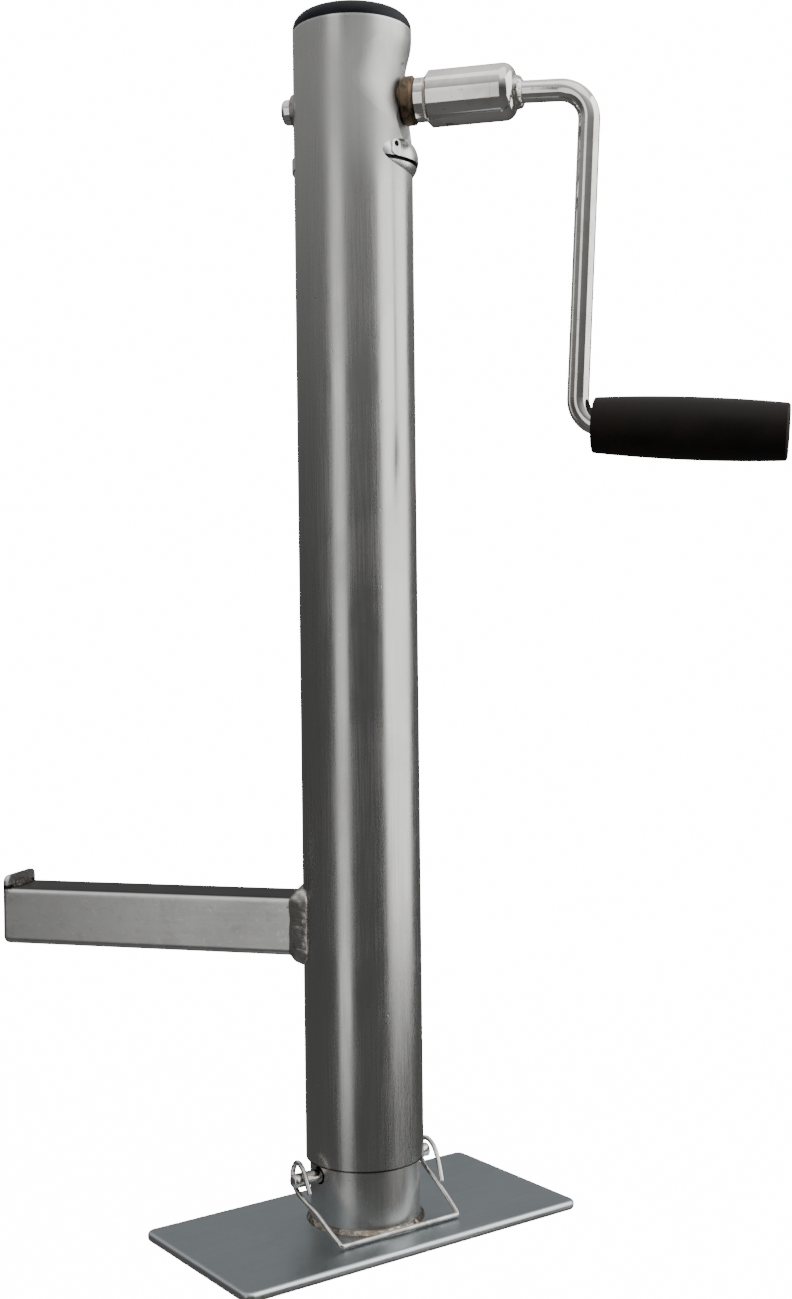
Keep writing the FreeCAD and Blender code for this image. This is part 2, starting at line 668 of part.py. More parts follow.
def lead_screw():
    """The screw; closed grooves of the thread's own section stand for its helix."""
    crest = 0.35 * SCREW_PITCH
    flank = 0.15 * SCREW_PITCH
    outline = [(0, SCREW_BOTTOM), (SCREW_ROOT_R, SCREW_BOTTOM), (SCREW_ROOT_R, SCREW_THREAD_BOTTOM)]
    turns = int((SCREW_THREAD_TOP - SCREW_THREAD_BOTTOM) / SCREW_PITCH)
    for turn in range(turns):
        bottom = SCREW_THREAD_BOTTOM + turn * SCREW_PITCH
        outline += [(SCREW_ROOT_R, bottom + crest), (SCREW_R, bottom + crest + flank),
                    (SCREW_R, bottom + 2 * crest + flank),
                    (SCREW_ROOT_R, bottom + 2 * (crest + flank))]
    outline += [(SCREW_ROOT_R, SCREW_NECK_BOTTOM), (SCREW_NECK_R, SCREW_NECK_BOTTOM),
                (SCREW_NECK_R, SCREW_TIP_BOTTOM), (SCREW_TIP_R, SCREW_TIP_BOTTOM),
                (SCREW_TIP_R, SCREW_TOP), (0, SCREW_TOP)]
    screw = turned_z(distinct(outline))
    for height, radius in ((GEAR_PIN_Z, GEAR_PIN_R), (COLLAR_PIN_Z, COLLAR_PIN_R),
                           (STOP_PIN_Z, STOP_PIN_R)):
        screw = screw.cut(cross_pin(height, radius + CLOSE, 20))
    return screw


def distinct(outline):
    """Drop a point that repeats the one before it."""
    kept = [outline[0]]
    for point in outline[1:]:
        if math.dist(point, kept[-1]) > 0.001:
            kept.append(point)
    return kept


def thrust_collar():
    collar = ring(COLLAR_R, SCREW_NECK_R + CLOSE, SCREW_NECK_BOTTOM, BEARING_BOTTOM)
    return collar.cut(cross_pin(COLLAR_PIN_Z, COLLAR_PIN_R + CLOSE, 20))


def collar_pin():
    return cross_pin(COLLAR_PIN_Z, COLLAR_PIN_R, COLLAR_R - 0.4)


def gear_roll_pin():
    return cross_pin(GEAR_PIN_Z, GEAR_PIN_R, GEAR_HUB_R - 0.4)


def screw_stop_collar():
    """The collar at the screw's foot that stops the nut from running off."""
    collar = ring(STOP_R, SCREW_ROOT_R + CLOSE, SCREW_BOTTOM, STOP_TOP)
    return collar.cut(cross_pin(STOP_PIN_Z, STOP_PIN_R + CLOSE, 20))


def screw_stop_pin():
    return cross_pin(STOP_PIN_Z, STOP_PIN_R, STOP_R - 0.4)


def bearing_washer_lower():
    return ring(BEARING_R, SCREW_NECK_R + CLOSE, BEARING_BOTTOM, BEARING_BOTTOM + 3.0).cut(race_groove())


def ball_places():
    middle = (BEARING_BOTTOM + BEARING_TOP) / 2
    for index in range(BALL_COUNT):
        angle = 2 * math.pi * index / BALL_COUNT
        yield V(BALL_CIRCLE_R * math.cos(angle), BALL_CIRCLE_R * math.sin(angle), middle)


def bearing_balls():
    return Part.makeCompound([Part.makeSphere(BALL_R, place) for place in ball_places()])


def bearing_cage():
    middle = (BEARING_BOTTOM + BEARING_TOP) / 2
    cage = ring(BEARING_R - 1.0, 10.9, middle - 1.2, middle + 1.2)
    for place in ball_places():
        pocket = place - V(0, 0, 3)
        cage = cage.cut(Part.makeCylinder(BALL_R + 0.05, 6, pocket))
    return cage


# ---- leg and foot -----------------------------------------------------------------------------
def pin_bore(radius):
    return rod(radius, foot_point(-60, 0, PIN_Z), foot_point(60, 0, PIN_Z))


def nut_pin_lines(radius, reach):
    """Radial pins through the leg's wall into the lift nut."""
    pins = []
    for index in range(NUT_PIN_COUNT):
        angle = 2 * math.pi * index / NUT_PIN_COUNT
        outward = V(math.cos(angle), math.sin(angle), 0)
        height = V(0, 0, NUT_PIN_Z)
        pins.append(rod(radius, height + outward * (LEG_R - reach), height + outward * (LEG_R - 0.1)))
    return pins


def leg_tube():
    leg = ring(LEG_R, LEG_BORE_R, LEG_BOTTOM, LEG_TOP).cut(pin_bore(PIN_HOLE_R))
    for hole in nut_pin_lines(NUT_PIN_R + CLOSE, 12):
        leg = leg.cut(hole)
    return leg


def lift_nut():
    """The flanged nut that carries the leg; its bore runs on the thread's crests."""
    bore = SCREW_R + 0.05
    nut = turned_z([(bore, NUT_BOTTOM), (LEG_BORE_R - CLOSE, NUT_BOTTOM), (LEG_BORE_R - CLOSE, LEG_TOP),
                    (TUBE_BORE_R - 0.1, LEG_TOP), (TUBE_BORE_R - 0.1, NUT_TOP), (bore, NUT_TOP)])
    for hole in nut_pin_lines(NUT_PIN_R + CLOSE, 12):
        nut = nut.cut(hole)
    return nut


def nut_pins():
    return Part.makeCompound(nut_pin_lines(NUT_PIN_R, 10))


def foot_plate():
    corner = V(-PLATE_LENGTH / 2, -PLATE_WIDTH / 2, 0)
    plate = Part.makeBox(PLATE_LENGTH, PLATE_WIDTH, PLATE_THICK, corner)
    corners = [e for e in plate.Edges if abs(e.tangentAt(e.FirstParameter).z) > 0.9]
    plate = plate.makeFillet(PLATE_CORNER_R, corners)
    rims = [e for e in plate.Edges
            if e.BoundBox.ZMin > PLATE_THICK - 0.01 or e.BoundBox.ZMax < 0.01]
    plate = plate.makeFillet(PLATE_EDGE_R, rims)
    plate.rotate(ORIGIN, Z, FOOT_TURN)
    return plate


def foot_socket():
    return ring(SOCKET_R, SOCKET_BORE_R, PLATE_THICK, SOCKET_TOP).cut(pin_bore(PIN_HOLE_R))


def foot_weld():
    return turned_z([(SOCKET_R, PLATE_THICK), (SOCKET_R + FOOT_WELD_LEG, PLATE_THICK),
                     (SOCKET_R, PLATE_THICK + FOOT_WELD_LEG)])


# ---- lock pin -----------------------------------------------------------------------------------
def lock_pin():
    """The pull pin; one end is rounded and the other has a low head."""
    shank = rod(PIN_R, foot_point(PIN_LEFT, 0, PIN_Z), foot_point(PIN_RIGHT, 0, PIN_Z))
    tip = foot_point(PIN_LEFT, 0, PIN_Z)
    rim = [e for e in shank.Edges if (e.CenterOfMass - tip).Length < 0.1]
    return shank.makeFillet(2.2, rim)


def lock_pin_bail():
    """The wire bail: a loop round each end of the pin, two legs and a bottom bar."""
    tilt = math.radians(BAIL_ANGLE)
    loop_r = PIN_R + WIRE_R + 0.1

    def hang(along, distance):
        return foot_point(along, distance * math.sin(tilt), PIN_Z - distance * math.cos(tilt))

    points = [hang(-BAIL_SIDE, loop_r), hang(-BAIL_CORNER, BAIL_LEG),
              hang(BAIL_CORNER, BAIL_LEG), hang(BAIL_SIDE, loop_r)]
    bail = bent_rod(points, WIRE_R, [3.5, 3.5])
    for along in (-BAIL_SIDE, BAIL_SIDE):
        centre = foot_point(along, 0, PIN_Z)
        bail = bail.fuse(Part.makeTorus(loop_r, WIRE_R, centre, foot_point(1, 0, 0)))
    return bail


PARTS = [
    outer_tube, top_cap, arm_tube, arm_end_plate, arm_weld, end_plate_weld, crank_bush_outer,
    crank_bush_inner, bearing_clip_right, bearing_clip_left, bearing_seat, bearing_washer_upper,
    guide_bush, crank_shaft, bevel_pinion, pinion_roll_pin, crank_hub, hub_roll_pin, crank_rod,
    hub_weld, grip_push_nut, grip, grip_end_plug, lead_screw, bevel_gear, gear_roll_pin,
    thrust_collar, collar_pin, screw_stop_collar, screw_stop_pin, bearing_washer_lower,
    bearing_balls, bearing_cage, leg_tube, lift_nut, nut_pins, foot_socket, foot_plate, foot_weld,
    lock_pin, lock_pin_bail,
]

for make in PARTS:
    shape = make()
    shape.exportStep("parts/" + make.__name__ + ".step")
    print(make.__name__, len(shape.Solids), shape.isValid(), round(shape.Volume, 1))
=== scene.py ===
"""Looks of the trailer tongue jack: materials, weld beads, the wire bail, light and camera."""
import bpy
import json
import math
from mathutils import Matrix, Vector, noise


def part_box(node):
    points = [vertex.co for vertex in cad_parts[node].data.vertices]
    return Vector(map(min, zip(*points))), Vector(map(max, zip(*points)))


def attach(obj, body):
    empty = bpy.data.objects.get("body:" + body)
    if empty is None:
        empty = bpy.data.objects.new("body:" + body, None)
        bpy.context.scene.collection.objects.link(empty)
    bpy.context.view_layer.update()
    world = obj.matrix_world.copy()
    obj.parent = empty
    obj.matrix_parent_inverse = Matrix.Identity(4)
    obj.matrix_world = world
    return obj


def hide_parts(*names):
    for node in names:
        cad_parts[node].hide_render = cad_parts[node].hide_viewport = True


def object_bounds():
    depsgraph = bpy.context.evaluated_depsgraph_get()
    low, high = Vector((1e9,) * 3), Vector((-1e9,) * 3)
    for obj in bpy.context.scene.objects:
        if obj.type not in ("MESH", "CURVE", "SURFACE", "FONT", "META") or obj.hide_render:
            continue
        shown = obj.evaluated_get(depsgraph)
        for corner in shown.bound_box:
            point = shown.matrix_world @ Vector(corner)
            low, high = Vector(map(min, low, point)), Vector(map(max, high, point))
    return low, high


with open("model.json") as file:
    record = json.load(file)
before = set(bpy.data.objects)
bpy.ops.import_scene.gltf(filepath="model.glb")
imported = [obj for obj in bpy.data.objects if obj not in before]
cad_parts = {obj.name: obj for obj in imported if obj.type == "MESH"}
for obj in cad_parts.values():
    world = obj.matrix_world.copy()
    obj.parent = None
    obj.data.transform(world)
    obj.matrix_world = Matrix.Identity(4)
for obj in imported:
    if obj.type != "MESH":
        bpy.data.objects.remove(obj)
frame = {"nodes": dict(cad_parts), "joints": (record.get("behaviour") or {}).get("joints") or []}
cad_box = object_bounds()

MM = 0.001
NODES = frame["nodes"]
JOINTS = {joint["name"]: joint for joint in frame["joints"]}

# ---- places and sizes taken from the frame ----------------------------------------------
TUBE_LOW, TUBE_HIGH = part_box("outer_tube")
TUBE_R = TUBE_HIGH.x
ARM_LOW, ARM_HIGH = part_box("arm_tube")
ARM_MIDDLE_Z = (ARM_LOW.z + ARM_HIGH.z) / 2
ARM_HALF = (ARM_HIGH.z - ARM_LOW.z) / 2
PLATE_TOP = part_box("foot_plate")[1].z
PLATE_HALF_LENGTH = 100 * MM
PLATE_HALF_WIDTH = 50 * MM
SOCKET_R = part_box("foot_socket")[1].x
SOCKET_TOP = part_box("foot_socket")[1].z
SHAFT_Z = JOINTS["crank_turn"]["pos_m"][2]
LEG_TRAVEL = JOINTS["leg_slide"]["range_m"][1]
PIN_Z = JOINTS["bail_swing"]["pos_m"][2]
PIN_DIRECTION = -Vector(JOINTS["bail_swing"]["axis"])
FOOT_TURN = math.atan2(PIN_DIRECTION.y, PIN_DIRECTION.x)
CLIP_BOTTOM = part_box("bearing_clip_right")[0].z
CLIP_SLIT = (CLIP_BOTTOM + 3.9 * MM, CLIP_BOTTOM + 5.5 * MM)


# ---- node graph helper --------------------------------------------------------------------
class Graph:
    """A node tree with short calls for the few nodes that the materials use."""

    def __init__(self, name):
        self.material = bpy.data.materials.new(name)
        self.material.use_nodes = True
        self.tree = self.material.node_tree
        self.shader = self.tree.nodes["Principled BSDF"]

    def node(self, kind, **settings):
        node = self.tree.nodes.new(kind)
        for key, value in settings.items():
            setattr(node, key, value)
        return node

    def plug(self, node, socket, value):
        if isinstance(value, bpy.types.NodeSocket):
            self.tree.links.new(value, node.inputs[socket])
        elif value is not None:
            node.inputs[socket].default_value = value

    def where(self, scale=(1, 1, 1), turn=(0, 0, 0)):
        """Object coordinates, in metres, turned and stretched."""
        coordinate = self.node("ShaderNodeTexCoord")
        mapping = self.node("ShaderNodeMapping", vector_type="TEXTURE")
        self.plug(mapping, "Vector", coordinate.outputs["Object"])
        self.plug(mapping, "Rotation", turn)
        self.plug(mapping, "Scale", tuple(1 / part for part in scale))
        return mapping.outputs["Vector"]

    def noise(self, vector, scale=1.0, detail=3.0, rough=0.55, bend=0.0):
        texture = self.node("ShaderNodeTexNoise")
        self.plug(texture, "Vector", vector)
        self.plug(texture, "Scale", scale)
        self.plug(texture, "Detail", detail)
        self.plug(texture, "Roughness", rough)
        self.plug(texture, "Distortion", bend)
        return texture.outputs["Fac"]

    def spots(self, vector, scale, size):
        """Small round dots of random darkness, 1 inside a dot."""
        texture = self.node("ShaderNodeTexVoronoi")
        self.plug(texture, "Vector", vector)
        self.plug(texture, "Scale", scale)
        inside = self.span(texture.outputs["Distance"], size, size * 0.4)
        split = self.node("ShaderNodeSeparateColor")
        self.plug(split, 0, texture.outputs["Color"])
        return self.maths("MULTIPLY", inside, self.span(split.outputs[0], 0.55, 0.9))

    def maths(self, operation, a, b=None, clamp=False):
        node = self.node("ShaderNodeMath", operation=operation, use_clamp=clamp)
        self.plug(node, 0, a)
        self.plug(node, 1, b)
        return node.outputs[0]

    def span(self, value, low, high, to_low=0.0, to_high=1.0):
        """Map low..high to to_low..to_high, held at both ends."""
        node = self.node("ShaderNodeMapRange", interpolation_type="SMOOTHSTEP")
        self.plug(node, "Value", value)
        self.plug(node, "From Min", low)
        self.plug(node, "From Max", high)
        self.plug(node, "To Min", to_low)
        self.plug(node, "To Max", to_high)
        return node.outputs[0]

    def mix(self, factor, a, b, blend="MIX"):
        node = self.node("ShaderNodeMix", data_type="RGBA", blend_type=blend)
        self.plug(node, 0, factor)
        for socket, value in ((6, a), (7, b)):
            if isinstance(value, tuple):
                value = (*value, 1.0)
            self.plug(node, socket, value)
        return node.outputs[2]

    def axis(self, index, turn=(0, 0, 0)):
        """One object coordinate in metres, after a turn."""
        split = self.node("ShaderNodeSeparateXYZ")
        self.plug(split, 0, self.where(turn=turn))
        return split.outputs[index]

    def bump(self, height, depth_mm, under=None):
        """Relief of the given depth; under is another bump's output."""
        node = self.node("ShaderNodeBump")
        self.plug(node, "Strength", 1.0)
        self.plug(node, "Distance", depth_mm * MM)
        self.plug(node, "Height", height)
        self.plug(node, "Normal", under)
        return node.outputs[0]

    def finish(self, colour, rough, normal=None, metallic=1.0, **constants):
        self.plug(self.shader, "Base Color", colour)
        self.plug(self.shader, "Roughness", rough)
        self.plug(self.shader, "Normal", normal)
        self.plug(self.shader, "Metallic", metallic)
        for socket, value in constants.items():
            self.plug(self.shader, socket.replace("_", " "), value)
        return self.material


# ---- materials -----------------------------------------------------------------------------
def plated_steel(name, light, dark, rough=(0.20, 0.30), along=2, wave_mm=0.10, soil=0.5,
                 turn=(0, 0, 0), streak=0.45, relief=1.0, marks=(), matte=None):
    """Zinc-plated steel: drawn streaks along one axis, cloudy plating, pits and light scratches."""
    g = Graph(name)
    stretch = [200.0, 200.0, 200.0]
    stretch[along] = 4.0
    streaks = g.noise(g.where(stretch, turn), detail=4.0)
    fine = [1500.0, 1500.0, 1500.0]
    fine[along] = 30.0
    hair = g.noise(g.where(fine, turn), detail=2.0)
    clouds = g.noise(g.where((16, 16, 10), turn), detail=5.0, rough=0.6, bend=0.6)
    grain = g.noise(g.where((900, 900, 900)), detail=2.0)
    middle = tuple((a + b) / 2 for a, b in zip(light, dark))
    colour = g.mix(g.span(streaks, 0.35, 0.65, 0.5 - streak / 2, 0.5 + streak / 2), dark, light)
    colour = g.mix(g.span(clouds, 0.42, 0.72, 0.0, 0.40), colour,
                   tuple(0.74 * part for part in middle))
    colour = g.mix(g.span(grain, 0.35, 0.65, 0.0, 0.10), colour, light)
    pits = g.spots(g.where((1, 1, 0.8)), 90.0, 0.055)
    specks = g.spots(g.where((1, 1, 1), (0.4, 0.2, 0.1)), 230.0, 0.07)
    colour = g.mix(g.maths("MULTIPLY", pits, 0.75 * soil), colour, (0.05, 0.045, 0.04))
    colour = g.mix(g.maths("MULTIPLY", specks, 0.45 * soil), colour, (0.10, 0.09, 0.08))
    scratch_stretch = [1400.0, 1400.0, 1400.0]
    scratch_stretch[along] = 22.0
    scratch = g.noise(g.where(scratch_stretch, (0.35, 0.22, 0.1)), detail=0.0)
    where = g.span(g.noise(g.where((22, 22, 16)), detail=2.0), 0.56, 0.66)
    scratch = g.maths("MULTIPLY", g.span(scratch, 0.76, 0.82), where)
    colour = g.mix(g.maths("MULTIPLY", scratch, 0.4), colour, (0.86, 0.86, 0.85))
    for mark, tone in marks:
        colour = g.mix(mark(g), colour, tone)
    roughness = g.span(clouds, 0.3, 0.7, rough[0], rough[1])
    roughness = g.maths("ADD", roughness, g.span(hair, 0.3, 0.7, -0.02, 0.04))
    if matte:
        roughness = g.maths("ADD", roughness, matte(g))
    roughness = g.maths("ADD", roughness, g.maths("MULTIPLY", pits, 0.2), clamp=True)
    broad = [26.0, 26.0, 26.0]
    broad[along] = 3.0
    normal = g.bump(g.noise(g.where(broad, turn), detail=1.0), wave_mm)
    normal = g.bump(streaks, 0.006 * relief, normal)
    normal = g.bump(hair, 0.003 * relief, normal)
    normal = g.bump(g.maths("MULTIPLY", pits, -1.0), 0.05, normal)
    return g.finish(colour, roughness, normal, Specular_IOR_Level=0.5)


def bright_plate(name, light=(0.90, 0.88, 0.85), dark=(0.76, 0.73, 0.68), rough=(0.05, 0.13),
                 wave_mm=0.06):
    """Bright nickel-like plating over turned or drawn steel, with handling marks."""
    g = Graph(name)
    clouds = g.noise(g.where((60, 60, 60)), detail=4.0, bend=0.8)
    marks = g.noise(g.where((240, 700, 240), (0.2, 0.5, 0.3)), detail=2.0)
    marks = g.span(marks, 0.66, 0.74)
    colour = g.mix(g.span(clouds, 0.4, 0.7), light, dark)
    colour = g.mix(g.maths("MULTIPLY", marks, 0.35), colour, (0.35, 0.32, 0.28))
    stains = g.spots(g.where((1, 1, 1)), 170.0, 0.09)
    colour = g.mix(g.maths("MULTIPLY", stains, 0.5), colour, (0.20, 0.17, 0.14))
    roughness = g.span(clouds, 0.35, 0.7, rough[0], rough[1])
    roughness = g.maths("ADD", roughness, g.maths("MULTIPLY", marks, 0.15), clamp=True)
    normal = g.bump(g.noise(g.where((35, 35, 35)), detail=1.0), wave_mm)
    normal = g.bump(g.noise(g.where((1800, 260, 260)), detail=2.0), 0.004, normal)
    return g.finish(colour, roughness, normal)


def dark_steel(name, light=(0.17, 0.13, 0.10), dark=(0.05, 0.04, 0.032), rough=(0.30, 0.50)):
    """Oily dark steel with brown patches."""
    g = Graph(name)
    patches = g.noise(g.where((220, 220, 220)), detail=4.0, bend=0.5)
    colour = g.mix(g.span(patches, 0.35, 0.65), dark, light)
    roughness = g.span(patches, 0.3, 0.7, rough[0], rough[1])
    normal = g.bump(g.noise(g.where((900, 900, 900)), detail=3.0), 0.03)
    return g.finish(colour, roughness, normal, metallic=0.85)


def machined_steel(name, light=(0.62, 0.61, 0.59), dark=(0.38, 0.37, 0.35), grease=0.4):
    """Turned steel: fine tool marks round the axis and a film of grease."""
    g = Graph(name)
    tool = g.noise(g.where((20, 20, 2600)), detail=2.0)
    film = g.noise(g.where((70, 70, 70)), detail=4.0, bend=1.0)
    colour = g.mix(g.span(tool, 0.3, 0.7), dark, light)
    colour = g.mix(g.span(film, 0.5, 0.75, 0.0, grease), colour, (0.10, 0.075, 0.045))
    roughness = g.span(film, 0.35, 0.7, 0.34, 0.16)
    normal = g.bump(tool, 0.01)
    return g.finish(colour, roughness, normal)


def weld_metal(name, dark=(0.50, 0.47, 0.42), light=(0.76, 0.75, 0.72)):
    """Plated weld metal: bright crests, brown heat tint and soot in the hollows."""
    g = Graph(name)
    tint = g.noise(g.where((260, 260, 260)), detail=4.0, bend=0.6)
    colour = g.mix(g.span(tint, 0.32, 0.68), dark, light)
    soot = g.noise(g.where((90, 90, 90)), detail=3.0)
    colour = g.mix(g.span(soot, 0.56, 0.72, 0.0, 0.5), colour, (0.16, 0.13, 0.10))
    roughness = g.span(tint, 0.3, 0.7, 0.34, 0.18)
    normal = g.bump(g.noise(g.where((1400, 1400, 1400)), detail=3.0), 0.05)
    return g.finish(colour, roughness, normal)


def black_plastic(name, light=(0.030, 0.030, 0.033), dark=(0.010, 0.010, 0.011),
                  rough=(0.30, 0.42), grain=900.0, grain_mm=0.02, wear=0.5, shine=0.5):
    """Moulded plastic with a fine grain, dust and light scuffs."""
    g = Graph(name)
    broad = g.noise(g.where((40, 40, 40)), detail=4.0)
    colour = g.mix(g.span(broad, 0.35, 0.7), dark, light)
    scuffs = g.noise(g.where((800, 120, 800), (0.3, 0.5, 0.9)), detail=1.0)
    scuffs = g.maths("MULTIPLY", g.span(scuffs, 0.70, 0.78), g.span(broad, 0.5, 0.65))
    colour = g.mix(g.maths("MULTIPLY", scuffs, wear * 0.3), colour, (0.22, 0.21, 0.20))
    roughness = g.span(broad, 0.3, 0.7, rough[0], rough[1])
    roughness = g.maths("ADD", roughness, g.maths("MULTIPLY", scuffs, 0.15), clamp=True)
    normal = g.bump(g.noise(g.where((grain, grain, grain)), detail=2.0), grain_mm)
    return g.finish(colour, roughness, normal, metallic=0.0, IOR=1.46, Specular_IOR_Level=shine)


def nylon(name):
    g = Graph(name)
    broad = g.noise(g.where((60, 60, 60)), detail=4.0)
    colour = g.mix(g.span(broad, 0.35, 0.7), (0.80, 0.77, 0.66), (0.62, 0.57, 0.45))
    roughness = g.span(broad, 0.3, 0.7, 0.32, 0.5)
    normal = g.bump(g.noise(g.where((700, 700, 90)), detail=2.0), 0.02)
    return g.finish(colour, roughness, normal, metallic=0.0, IOR=1.53)


def tube_top_rim(g):
    """Bright rubbed metal at the tube's top mouth."""
    return g.span(g.axis(2), TUBE_HIGH.z - 0.0016, TUBE_HIGH.z - 0.0004, 0.0, 0.5)


def pressed_zone(g):
    """Added roughness where the tube's wall was pressed in round the crank's bush."""
    away = g.node("ShaderNodeVectorMath", operation="DISTANCE")
    g.plug(away, 0, g.where())
    g.plug(away, 1, (TUBE_R, -0.3 * TUBE_R, SHAFT_Z))
    return g.span(away.outputs["Value"], 0.5 * TUBE_R, 1.9 * TUBE_R, 0.22, 0.0)


def mouth_seam_shade(g):
    """Painted shade in the seam between the tube's mouth and the foot socket."""
    middle = (TUBE_LOW.z + SOCKET_TOP) / 2
    away = g.maths("ABSOLUTE", g.maths("SUBTRACT", g.axis(2), middle))
    return g.span(away, 0.0004, 0.0011, 0.9, 0.0)


def plate_rim(g):
    """Bright rubbed metal along the foot plate's rim."""
    turn = (0, 0, FOOT_TURN)
    along = g.maths("ABSOLUTE", g.axis(0, turn))
    across = g.maths("ABSOLUTE", g.axis(1, turn))
    rim = g.maths("MAXIMUM",
                  g.span(along, PLATE_HALF_LENGTH - 1.6 * MM, PLATE_HALF_LENGTH - 0.3 * MM),
                  g.span(across, PLATE_HALF_WIDTH - 1.6 * MM, PLATE_HALF_WIDTH - 0.3 * MM))
    return g.maths("MULTIPLY", rim, 0.6)


def arm_dirt(g):
    """Grey dirt collected along the arm's long corners."""
    height = g.maths("ABSOLUTE", g.maths("SUBTRACT", g.axis(2), ARM_MIDDLE_Z))
    near = g.span(height, ARM_HALF - 4.0 * MM, ARM_HALF - 1.5 * MM)
    patch = g.span(g.noise(g.where((90, 60, 90)), detail=3.0), 0.45, 0.65)
    return g.maths("MULTIPLY", g.maths("MULTIPLY", near, patch), 0.35)


def arm_mottle(g):
    """Dull patches in the arm's plating."""
    patches = g.noise(g.where((110, 110, 150), (0.2, 0.5, 0.1)), detail=5.0, rough=0.65, bend=1.2)
    return g.span(patches, 0.50, 0.70, 0.0, 0.42)


def arm_rubs(g):
    """Pale rubbed spots and short scrapes, more of them towards the tube."""
    spots = g.noise(g.where((420, 420, 420), (0.7, 0.1, 0.4)), detail=3.0, bend=0.8)
    near_tube = g.span(g.axis(0), ARM_LOW.x, ARM_HIGH.x, 0.25, 0.6)
    return g.maths("MULTIPLY", g.span(spots, 0.60, 0.70), near_tube)


def arm_top_painted_shade(g):
    """Painted shade, near black, on the arm's top face."""
    away = g.maths("ABSOLUTE", g.maths("SUBTRACT", g.axis(2), ARM_HIGH.z))
    return g.span(away, 0.0005, 0.0016, 0.97, 0.0)


def clip_shadows(g):
    """Painted shade, near black, in the right clip's slit."""
    height = g.axis(2)
    slit = g.maths("MULTIPLY", g.span(height, CLIP_SLIT[0] - 0.0002, CLIP_SLIT[0] + 0.0001),
                   g.span(height, CLIP_SLIT[1], CLIP_SLIT[1] + 0.0003, 1.0, 0.0))
    side = g.axis(0)
    return g.maths("MULTIPLY", slit, g.span(side, 0.0, 0.001))


def arm_corner_highlights(g):
    """Painted highlight, pale as bright metal, along the arm's long corners."""
    height = g.maths("ABSOLUTE", g.maths("SUBTRACT", g.axis(2), ARM_MIDDLE_Z))
    side = g.maths("ABSOLUTE", g.axis(1))
    start = ARM_HALF - 2.8 * MM
    full = ARM_HALF - 1.6 * MM
    corner = g.maths("MULTIPLY", g.span(height, start, full), g.span(side, start, full))
    return g.maths("MULTIPLY", corner, 0.7)


# Near-black colour for painted shade: the seam at the tube's mouth, the arm's top face and the right
# clip's slit.
PAINTED_SHADE_BLACK = (0.012, 0.011, 0.010)
# Pale metal tone: rubbed wear at the tube's mouth and the plate's rim, and painted highlight on the
# arm's corners.
RUBBED_AND_HIGHLIGHT = (0.90, 0.91, 0.92)
# The tube carries painted shade along the seam at its mouth.
ZINC_TUBE = plated_steel("zinc_tube", (0.65, 0.65, 0.63), (0.57, 0.57, 0.55), soil=0.85,
                         matte=pressed_zone,
                         marks=[(tube_top_rim, RUBBED_AND_HIGHLIGHT), (mouth_seam_shade, PAINTED_SHADE_BLACK)])
ZINC_LEG = plated_steel("zinc_leg", (0.68, 0.67, 0.64), (0.58, 0.57, 0.54))
# The arm's marks include painted shade on its top face and painted highlights on its long corners.
ZINC_ARM = plated_steel("zinc_arm", (0.60, 0.60, 0.585), (0.54, 0.54, 0.525), along=0,
                        rough=(0.28, 0.36), wave_mm=0.04, streak=0.08, relief=0.12,
                        marks=[(arm_mottle, (0.40, 0.395, 0.38)), (arm_rubs, (0.74, 0.74, 0.73)),
                               (arm_dirt, (0.24, 0.23, 0.21)), (arm_corner_highlights, RUBBED_AND_HIGHLIGHT),
                               (arm_top_painted_shade, PAINTED_SHADE_BLACK)])
# The socket carries painted shade along the same seam.
ZINC_SOCKET = plated_steel("zinc_socket", (0.58, 0.58, 0.56), (0.50, 0.49, 0.47),
                           rough=(0.28, 0.38), marks=[(mouth_seam_shade, PAINTED_SHADE_BLACK)])
ZINC_PLATE = plated_steel("zinc_plate", (0.35, 0.39, 0.41), (0.31, 0.35, 0.37), along=0,
                          turn=(0, 0, FOOT_TURN), rough=(0.30, 0.40), wave_mm=0.04, streak=0.25,
                          marks=[(plate_rim, RUBBED_AND_HIGHLIGHT)])
# The clip's slit gets painted shade.
CLIP_STEEL = plated_steel("clip_steel", (0.93, 0.94, 0.94), (0.85, 0.86, 0.86), rough=(0.24, 0.34),
                          wave_mm=0.02, soil=0.1, marks=[(clip_shadows, PAINTED_SHADE_BLACK)])
BRIGHT = bright_plate("bright_plate")
WIRE = bright_plate("bright_wire", light=(0.70, 0.69, 0.68), dark=(0.33, 0.31, 0.28),
                    rough=(0.10, 0.18), wave_mm=0.02)
DARK_BUSH = dark_steel("dark_bush", light=(0.20, 0.14, 0.09), dark=(0.06, 0.045, 0.03))
PIN_STEEL = dark_steel("pin_steel", light=(0.34, 0.33, 0.31), dark=(0.18, 0.17, 0.16))
MACHINED = machined_steel("machined_steel")
WELD = weld_metal("weld_metal")
DARK_WELD = weld_metal("weld_dark", dark=(0.16, 0.13, 0.10), light=(0.36, 0.33, 0.28))
# Near-black weld metal: painted shade on the bead in the corner of the arm's top and the end plate's
# lip.
SHADED_WELD = weld_metal("weld_painted_shade", dark=(0.020, 0.018, 0.016), light=(0.10, 0.09, 0.08))
CAP = black_plastic("cap_plastic", light=(0.010, 0.013, 0.020), dark=(0.003, 0.004, 0.007),
                    rough=(0.42, 0.55), shine=0.25)
GRIP = black_plastic("grip_plastic", light=(0.014, 0.008, 0.006), dark=(0.005, 0.0035, 0.003),
                     rough=(0.44, 0.58), grain=1300.0, grain_mm=0.015, wear=0.2, shine=0.22)
NYLON = nylon("nylon")

